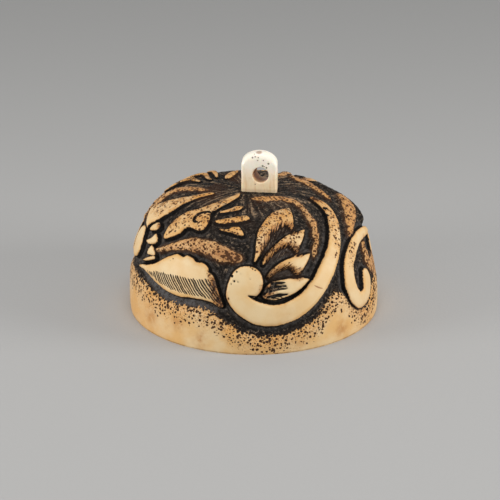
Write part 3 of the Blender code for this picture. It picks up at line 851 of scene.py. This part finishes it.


# Colours of antler, bone and stain, and a grey for painted sheen, as linear light
CREAM = (0.700, 0.545, 0.325)
PALE = (0.700, 0.520, 0.290)
HONEY = (0.660, 0.405, 0.160)
AMBER = (0.560, 0.255, 0.060)
TAN = (0.600, 0.385, 0.210)
RUST = (0.270, 0.092, 0.024)
UMBER = (0.120, 0.045, 0.015)
DOT_BROWN = (0.060, 0.024, 0.009)
SEPIA = (0.420, 0.180, 0.045)
SOOT = (0.0034, 0.0021, 0.0013)
CHARCOAL = (0.030, 0.0222, 0.0165)
DUST = (0.118, 0.095, 0.074)
SHEEN_GREY = (0.108, 0.102, 0.100)
PITH = (0.330, 0.225, 0.125)
BONE = (0.900, 0.835, 0.710)
BONE_CREAM = (0.860, 0.680, 0.440)
BONE_GRAIN = (0.700, 0.430, 0.180)
BORE_AMBER = (0.520, 0.255, 0.080)
BORE_BROWN = (0.330, 0.115, 0.028)

# The height of the finest relief on each surface
ANTLER_GRAIN_HEIGHT = 0.14 * MM
BONE_GRAIN_HEIGHT = 0.06 * MM
PAPER_GRAIN_HEIGHT = 0.02 * MM


class StainedAntler(Finish):
    """Satin cream antler, amber towards the crown, with soot rubbed into the carved ground.

    Shares run from 0 to 1, and distances from the carved edges are in millimetres.
    """

    def __init__(self):
        super().__init__("stained_antler_look")
        self.place = self.coordinates()
        self.across = self.along(self.place, "X")
        self.height = self.along(self.place, "Z")
        self.edge = self.told("cut")
        self.ink = self.told("ink")
        self.climb = self.told("climb")
        self.mound = self.told("mound")
        self.feather = self.told("feather")
        self.spokes = self.told("spokes")
        self.cloudy = self.mottle(self.place, 0.22, 3.0)
        self.patchy = self.mottle(self.place, 0.9, 5.0)
        self.fine = self.mottle(self.place, 3.6, 4.0, 0.65)
        self.leather = self.mottle(self.place, 2.1, 6.0, 0.7, 0.6)
        self.ripe = self.spread(self.climb, 0.40, 0.74)
        self.thick = self.told("thick")
        self.feather_edges()
        self.scatter_dots()
        self.cut_lines()
        self.pack_soot()
        self.mark_ground()
        bare = self.soaked(self.bare_antler())
        stained = self.coated(bare, (self.dark, self.ground_colour()))
        self.show_surface(self.open_heart(bare, stained))

    def feather_edges(self):
        """Cut edges: crisp, but feathered by fine strokes on the petals' hollow sides."""
        self.strokes = self.streaks(self.told("fan"), 30.0, 3.0)
        feathered = self.times(self.feather, self.wander(self.strokes, 1.6))
        self.cut = self.plus(self.edge, self.plus(feathered, self.wander(self.fine, 0.14)))
        self.outside = self.spread(self.cut, -0.01, 0.07)
        self.inside = self.less(1.0, self.outside)

    def scatter_dots(self):
        """Dots of stain: fewer where the stain thins, and fine specks between them."""
        thick = self.times(self.thick, self.spread(self.patchy, 0.38, 0.60, 0.74, 0.96))
        ridge_ink = self.most(thick, self.spread(self.patchy, 0.38, 0.62, 0.46, 0.80))
        ridge_ink = self.between(self.spread(self.mound, 0.2, 1.0), 1.0, ridge_ink)
        ground_ink = self.times(self.power(self.ink, 0.62), ridge_ink)
        top_ink = self.times(self.ripe, self.spread(self.patchy, 0.40, 0.62, 0.08, 0.34))
        top_ink = self.plus(top_ink, self.spread(self.patchy, 0.60, 0.76, 0.0, 0.14))
        near_hollow = self.times(self.feather, self.spread(self.cut, -1.0, 0.05, 0.0, 0.85))
        smudged = self.times(self.told("smudge"), self.spread(self.patchy, 0.38, 0.60, 0.38, 0.74))
        top_ink = self.most(top_ink, near_hollow, smudged, thick)
        self.amount = self.between(self.outside, top_ink, ground_ink)

        distance, size, chance = self.dots(self.place, 2.5)
        distance = self.plus(distance, self.wander(self.fine, 0.45))
        there = self.spread(self.less(self.times(self.amount, 1.15), chance), 0.02, 0.12)
        reach = self.times(self.spread(size, 0.0, 1.0, 0.26, 0.54), there)
        reach = self.plus(reach, self.spread(self.amount, 0.84, 1.0, 0.0, 0.85))
        large = self.fall(self.less(distance, reach), -0.05, 0.05)

        distance, size, chance = self.dots(self.coordinates((0.93, 1.08, 1.02)), 2.1)
        distance = self.plus(distance, self.wander(self.fine, 0.40))
        there = self.spread(self.less(self.amount, chance), 0.12, 0.22)
        reach = self.times(self.spread(size, 0.0, 1.0, 0.22, 0.48), there)
        others = self.fall(self.less(distance, reach), -0.05, 0.05)
        self.dotted = self.times(self.most(large, others), self.spread(self.amount, 0.02, 0.10))

        distance, _, chance = self.dots(self.place, 4.4)
        rarer = self.less(self.times(self.amount, 1.1), chance)
        self.specks = self.times(self.fall(distance, 0.22, 0.38), self.spread(rarer, 0.0, 0.12))

    def cut_lines(self):
        """Lines and pits cut into the motifs, the leaf's hatching and the crown's fine lines."""
        hatch = self.told("hatch")
        phase = self.plus(hatch, self.wander(self.patchy, 0.40))
        phase = self.sums("PINGPONG", phase, [0.5])
        each_line = self.streaks(hatch, 1.3, 1.0)
        ragged = self.less(self.told("hatched"), self.spread(each_line, 0.35, 0.65, 0.0, 0.55))
        width = self.spread(each_line, 0.38, 0.62, 0.43, 0.24)
        width = self.times(self.spread(ragged, 0.0, 0.30), width)
        hatched = self.fall(self.less(phase, width), -0.07, 0.03, 0.92)
        hatched = self.times(hatched, self.spread(ragged, 0.0, 0.12))
        crowned = self.spread(self.climb, 0.60, 0.72)
        crown_lines = self.times(self.spread(self.spokes, 0.16, 0.34), crowned, 0.80)
        engraved = self.fall(self.told("lines"), -0.01, 0.07)
        cuts = self.times(self.most(engraved, hatched, crown_lines), self.inside)
        self.cuts = self.most(cuts, self.fall(self.told("pits"), -0.02, 0.04))

    def pack_soot(self):
        """Soot packed in beside the carved edges, and the solid ground."""
        beside = self.times(self.outside, self.fall(self.edge, 0.24, 0.60))
        self.packed = self.times(beside, self.spread(self.ink, 0.35, 0.75))
        self.deep = self.times(self.spread(self.ink, 0.70, 1.0), self.fall(self.mound, 0.45, 0.95))
        solid = self.times(self.outside, self.spread(self.deep, 0.55, 0.95))
        self.dark = self.most(self.dotted, self.packed, solid, self.cuts)

    def mark_ground(self):
        """Tool marks: along the carved edges, fanned in the hollows, spokes at the crown."""
        flow = self.plus(self.edge, self.wander(self.patchy, 2.4))
        marks = self.wander(self.streaks(flow, 3.2, 3.0), 7.0)
        marks = self.between(self.feather, marks, self.wander(self.strokes, 9.0))
        crowned = self.times(self.spread(self.climb, 0.52, 0.74), 0.9)
        marks = self.between(crowned, marks, self.times(self.spokes, 4.2))
        rugged = self.plus(self.wander(self.leather, 5.5), self.times(marks, 0.55))
        margin = self.times(self.spread(self.edge, 0.15, 0.35), self.fall(self.edge, 0.7, 1.1, 0.35),
                            self.fall(self.climb, 0.50, 0.62))
        self.smooth = self.most(self.times(self.told("channel"), 0.85), margin)
        self.rugged = self.times(rugged, self.less(1.0, self.smooth))

    def ground_colour(self):
        """Soot low down, charcoal, painted grey sheen on the smooth ground, dust on the high spots, and
        brown where the stain thins.
        """
        sooted = self.most(self.packed, self.cuts, self.fall(self.rugged, -0.60, 0.35, 0.95),
                           self.fall(self.climb, 0.10, 0.20, 0.80))
        # Painted sheen: a lighter mottled grey on the smooth channel and beside the carved edges, standing
        # in for their gloss
        painted_sheen = self.times(self.smooth, self.fall(self.packed, 0.1, 0.7))
        sheen_grey = self.coated(CHARCOAL, (self.spread(self.leather, 0.34, 0.60), SHEEN_GREY))
        open_ground = self.times(self.fall(self.packed, 0.2, 0.8), self.spread(self.deep, 0.35, 0.85))
        dusty = self.times(self.spread(self.rugged, 0.10, 0.75), open_ground)
        worn = self.times(self.spread(self.rugged, 0.60, 1.05), open_ground)
        ripe_brown = self.times(self.spread(self.climb, 0.55, 0.85),
                                self.spread(self.cloudy, 0.45, 0.62, 0.0, 0.6))
        browned = self.most(self.fall(self.ink, 0.5, 1.0), self.times(self.mound, 0.7),
                            ripe_brown, self.times(self.feather, 0.25))
        on_top = self.times(self.inside, self.fall(self.cuts, 0.0, 0.5),
                            self.spread(self.amount, 0.5, 0.9, 0.95, 0.55))
        on_ridge = self.times(self.mound, self.fall(self.packed, 0.1, 0.6, 0.72))
        return self.coated(
            CHARCOAL,
            (sooted, SOOT),
            (painted_sheen, sheen_grey),
            (self.times(dusty, self.spread(self.climb, 0.60, 0.90, 0.62, 0.26)), DUST),
            (self.times(worn, 0.45), TAN),
            (self.times(browned, self.spread(dusty, 0.0, 1.0, 1.0, 0.35)), DOT_BROWN),
            (self.most(on_top, on_ridge), UMBER))

    def bare_antler(self):
        """Cream antler, warmer in clouds, amber towards the crown and at the foot's sides."""
        ripened = self.times(self.ripe, self.spread(self.patchy, 0.34, 0.66, 0.20, 0.88))
        sides = self.plus(self.fall(self.across, -18.5, -7.0, 0.36),
                          self.spread(self.across, 8.0, 18.5, 0.0, 0.22))
        clouds = self.spread(self.mottle(self.place, 0.30, 4.0, 0.6, 0.4), 0.52, 0.74, 0.0, 0.28)
        stain = self.times(self.told("stain"), self.spread(self.patchy, 0.38, 0.60, 0.20, 0.72))
        polished = self.fall(self.edge, -0.70, -0.25, 0.40)
        return self.coated(
            PALE,
            (self.spread(self.cloudy, 0.34, 0.66), HONEY),
            (ripened, AMBER),
            (self.times(sides, self.fall(self.climb, 0.10, 0.30)), AMBER),
            (self.most(clouds, stain), SEPIA),
            (self.times(polished, self.spread(self.climb, 0.45, 0.70, 1.0, 0.2)), CREAM))

    def soaked(self, bare):
        """Brown haloes round the stain, browner ridges, a painted contact shadow along the foot's lowest
        edge, cracks and specks.
        """
        fringe = self.times(self.spread(self.cut, -0.20, 0.0), self.spread(self.ink, 0.2, 0.7))
        upper_edge = self.times(self.spread(self.cut, -0.60, 0.0),
                                self.spread(self.climb, 0.42, 0.65, 0.0, 0.8))
        halo = self.times(self.most(self.times(self.amount, 1.2), fringe, upper_edge), 0.75)
        ruddy = self.most(self.spread(self.climb, 0.55, 0.85, 0.0, 0.5),
                          self.spread(self.across, 5.0, 12.0, 0.0, 0.55))
        browner = self.times(self.mound, self.spread(self.leather, 0.42, 0.64, 0.0, 0.55))
        shaded = self.times(self.feather, self.spread(self.cut, -0.85, 0.0, 0.0, 0.60))
        # Painted shade: umber along the lowest edge of the foot, standing in for the contact shadow under
        # it
        painted_foot_shadow = self.times(self.fall(self.height, 0.06, 0.30, 0.62), self.spread(self.height, 0.01, 0.06),
                            self.spread(self.patchy, 0.35, 0.60, 0.45, 1.0))
        return self.coated(
            bare,
            (self.times(halo, self.spread(self.fine, 0.3, 0.6)), AMBER),
            (self.times(self.mound, 0.35), TAN),
            (self.times(self.mound, ruddy), AMBER),
            (self.most(browner, self.times(self.thick, 0.6), shaded), RUST),
            (painted_foot_shadow, UMBER),
            (self.fall(self.told("crack"), -0.02, 0.06, 0.8), RUST),
            (self.times(self.specks, 0.80), UMBER))

    def open_heart(self, bare, stained):
        """The stained colour, with the open heart of the antler under the foot."""
        under = self.fall(self.height, 0.01, 0.06)
        deep = self.along(self.place, "Y")
        out = self.power(self.plus(self.times(self.across, self.across), self.times(deep, deep)), 0.5)
        heart = self.fall(self.plus(out, self.times(self.cloudy, 7.0)), 12.0, 15.5)
        distance, size, _ = self.dots(self.place, 1.5)
        pores = self.fall(self.less(distance, self.times(size, 0.42)), -0.05, 0.08)
        self.porous = self.times(pores, heart, under)
        foot = self.coated(bare, (self.times(heart, 0.8), PITH), (self.porous, RUST))
        return self.coated(stained, (under, foot))

    def show_surface(self, colour):
        """Satin tops, and dull rough ground with small glints."""
        dull = self.spread(self.fine, 0.35, 0.65, 0.45, 0.85)
        satin = self.spread(self.patchy, 0.3, 0.7, 0.32, 0.48)
        self.shows({"Base Color": colour, "Roughness": self.between(self.dark, satin, dull),
                    "Specular IOR Level": 0.16})
        scratched = self.mottle(self.coordinates((0.5, 0.5, 3.0)), 2.2, 3.0)
        grain = self.plus(self.times(self.fine, 0.6), self.times(self.rugged, 0.55))
        relief = self.times(grain, self.spread(self.dark, 0.0, 1.0, 0.08, 1.0))
        for place, height in ((self.dark, -0.45), (scratched, 0.10), (self.specks, -0.25),
                              (self.cuts, -0.5), (self.porous, -0.8)):
            relief = self.plus(relief, self.times(place, height))
        self.raised_by(relief, ANTLER_GRAIN_HEIGHT)


# Marks on the loop's front: across from its middle, above its bore and reach, in millimetres
LOOP_PITS = [(-0.97, 2.80, 0.20), (-0.56, 2.92, 0.15), (-0.73, 3.28, 0.13), (-0.09, 2.82, 0.12),
             (-0.18, 2.38, 0.13), (0.69, 2.41, 0.12), (1.45, 1.88, 0.20), (0.57, 1.50, 0.20),
             (1.15, 1.22, 0.18), (0.82, 1.42, 0.12), (-0.55, -1.50, 0.12)]
LOOP_RUB = (-0.05, 3.46, 0.62)


def loop_mark(look, place, mark):
    """A round mark on the loop's front face, or on its crest above the face."""
    across, above_bore, reach = mark
    rounding = above_bore * MM - (LOOP_STAND - BORE_ABOVE_CROWN - LOOP_CREST_EDGE)
    over = min(max(rounding / LOOP_CREST_EDGE, 0.0), 1.0)
    back = LOOP_CREST_EDGE * (1.0 - math.sqrt(1.0 - over * over))
    turned = Matrix.Rotation(LOOP_TURN, 4, "Z") @ Vector((across, (back - LOOP_THICKNESS / 2) / MM, 0.0))
    bore = Vector((LOOP_OFFSET, 0.0, DOME_HEIGHT + BORE_ABOVE_CROWN)) / MM
    return look.mark(place, turned + bore + Vector((0.0, 0.0, above_bore)), reach)


def pale_bone():
    """Whitish bone, yellower and grained lower down, brown where the cord ran."""
    look = Finish("pale_bone_look")
    place = look.coordinates()
    height = look.along(place, "Z")
    in_bore = look.told("in_bore")
    grain = look.mottle(look.coordinates((1.0, 1.0, 0.16)), 2.3, 5.0, 0.6)
    patchy = look.mottle(place, 0.8, 4.0)
    fine = look.mottle(place, 5.0, 3.0)
    crown = DOME_HEIGHT / MM
    top = crown + LOOP_STAND / MM
    low = look.fall(look.plus(height, look.times(patchy, 2.0)), crown + 1.5, top - 0.5)
    grained = look.times(look.spread(grain, 0.47, 0.66), look.spread(low, 0.0, 1.0, 0.08, 0.42))
    rubbed = look.times(loop_mark(look, place, LOOP_RUB), look.spread(patchy, 0.3, 0.55, 0.5, 1.0))
    pits = look.most(*[loop_mark(look, place, mark) for mark in LOOP_PITS])
    seam = look.fall(height, crown - 0.1, crown + 0.35)
    colour = look.coated(
        BONE,
        (low, BONE_CREAM),
        (grained, BONE_GRAIN),
        (look.spread(in_bore, 0.0, 0.30, 0.0, 0.85), BORE_AMBER),
        (look.spread(in_bore, 0.35, 1.10, 0.0, 0.85), BORE_BROWN),
        (look.times(rubbed, 0.65), RUST),
        (look.times(pits, 0.85), DOT_BROWN),
        (look.times(seam, 0.22), RUST))
    look.shows({"Base Color": colour, "Roughness": look.spread(patchy, 0.3, 0.7, 0.24, 0.40),
                "Subsurface Weight": 0.12, "Subsurface Scale": 0.6 * MM})
    relief = look.less(look.times(grain, 0.25), look.times(pits, 0.9))
    look.raised_by(look.plus(relief, look.times(fine, 0.12)), BONE_GRAIN_HEIGHT)
    return look.material


# The studio: a paper floor, a soft room and round soft lights
FLOOR_SIZE = 1.6
# Painted light falloff: the floor's colour is lighter near the camera and darker behind
FLOOR_NEAR_LIT = (0.430, 0.425, 0.416)
FLOOR_FAR_SHADED = (0.298, 0.296, 0.290)
FLOOR_TOOTH = (0.300, 0.300, 0.300)
ROOM_LIGHT = 0.45

# The floor's painted shade deepens over this stretch of its depth, in millimetres from under the dome's
# middle
FLOOR_SHADE_FADE = (-30.0, 190.0)

# Each light's name, place, aim, width and power
LIGHTS = [("overhead", (0.0, -0.14, 0.60), (0.0, 0.0, 0.0), 0.40, 1.62),
          ("left_side", (-0.52, -0.19, 0.06), (0.0, 0.0, 0.01), 0.30, 2.7),
          ("right_side", (0.53, -0.14, 0.13), (0.0, 0.0, 0.01), 0.30, 2.3)]

# The camera, as fitted to the photo
CAMERA_RISE = math.radians(23.03)
CAMERA_DISTANCE = 0.5
CAMERA_AIM = Vector((-0.577, 0.0, 8.897)) * MM
PHOTO_WIDTH = 500
PIXELS_PER_METRE = 6549.5
SENSOR = 36.0


def paper_floor():
    """Pale matt paper, with painted light falloff: lighter near the camera, darker further back."""
    look = Finish("paper_floor")
    place = look.coordinates()
    # Painted light falloff: the paper is coloured darker towards the back
    away = look.spread(look.along(place, "Y"), *FLOOR_SHADE_FADE)
    tooth = look.mottle(place, 2.0, 3.0)
    speckled = look.spread(tooth, 0.2, 0.8, 0.0, 0.04)
    look.shows({"Base Color": look.coated(FLOOR_NEAR_LIT, (away, FLOOR_FAR_SHADED), (speckled, FLOOR_TOOTH)),
                "Roughness": 0.9, "Specular IOR Level": 0.15})
    look.raised_by(tooth, PAPER_GRAIN_HEIGHT)
    return look.material


def make_floor():
    work = bmesh.new()
    bmesh.ops.create_grid(work, x_segments=8, y_segments=8, size=FLOOR_SIZE / 2)
    mesh = bpy.data.meshes.new("floor")
    work.to_mesh(mesh)
    work.free()
    mesh.materials.append(paper_floor())
    floor = bpy.data.objects.new("floor", mesh)
    bpy.context.scene.collection.objects.link(floor)


def make_light():
    world = bpy.data.worlds.new("soft_room")
    bpy.context.scene.world = world
    world.use_nodes = True
    room = world.node_tree.nodes["Background"]
    room.inputs["Color"].default_value = (1.0, 1.0, 1.0, 1.0)
    room.inputs["Strength"].default_value = ROOM_LIGHT
    for name, place, aim, width, power in LIGHTS:
        lamp = bpy.data.lights.new(name, "AREA")
        lamp.shape = "DISK"
        lamp.size = width
        lamp.energy = power
        holder = bpy.data.objects.new(name, lamp)
        bpy.context.scene.collection.objects.link(holder)
        holder.location = place
        holder.rotation_euler = (Vector(aim) - Vector(place)).to_track_quat("-Z", "Y").to_euler()


def make_camera():
    lens = bpy.data.cameras.new("photo_camera")
    lens.sensor_width = SENSOR
    lens.lens = SENSOR * PIXELS_PER_METRE * CAMERA_DISTANCE / PHOTO_WIDTH
    lens.clip_start = 0.02
    lens.clip_end = 5.0
    camera = bpy.data.objects.new("photo_camera", lens)
    bpy.context.scene.collection.objects.link(camera)
    back = Vector((0.0, -math.cos(CAMERA_RISE), math.sin(CAMERA_RISE)))
    camera.location = CAMERA_AIM + back * CAMERA_DISTANCE
    camera.rotation_euler = (-back).to_track_quat("-Z", "Y").to_euler()
    bpy.context.scene.camera = camera


make_carved_dome(StainedAntler().material)
make_cord_loop(pale_bone())
make_floor()
make_light()
make_camera()
bpy.context.scene.view_settings.view_transform = "Standard"
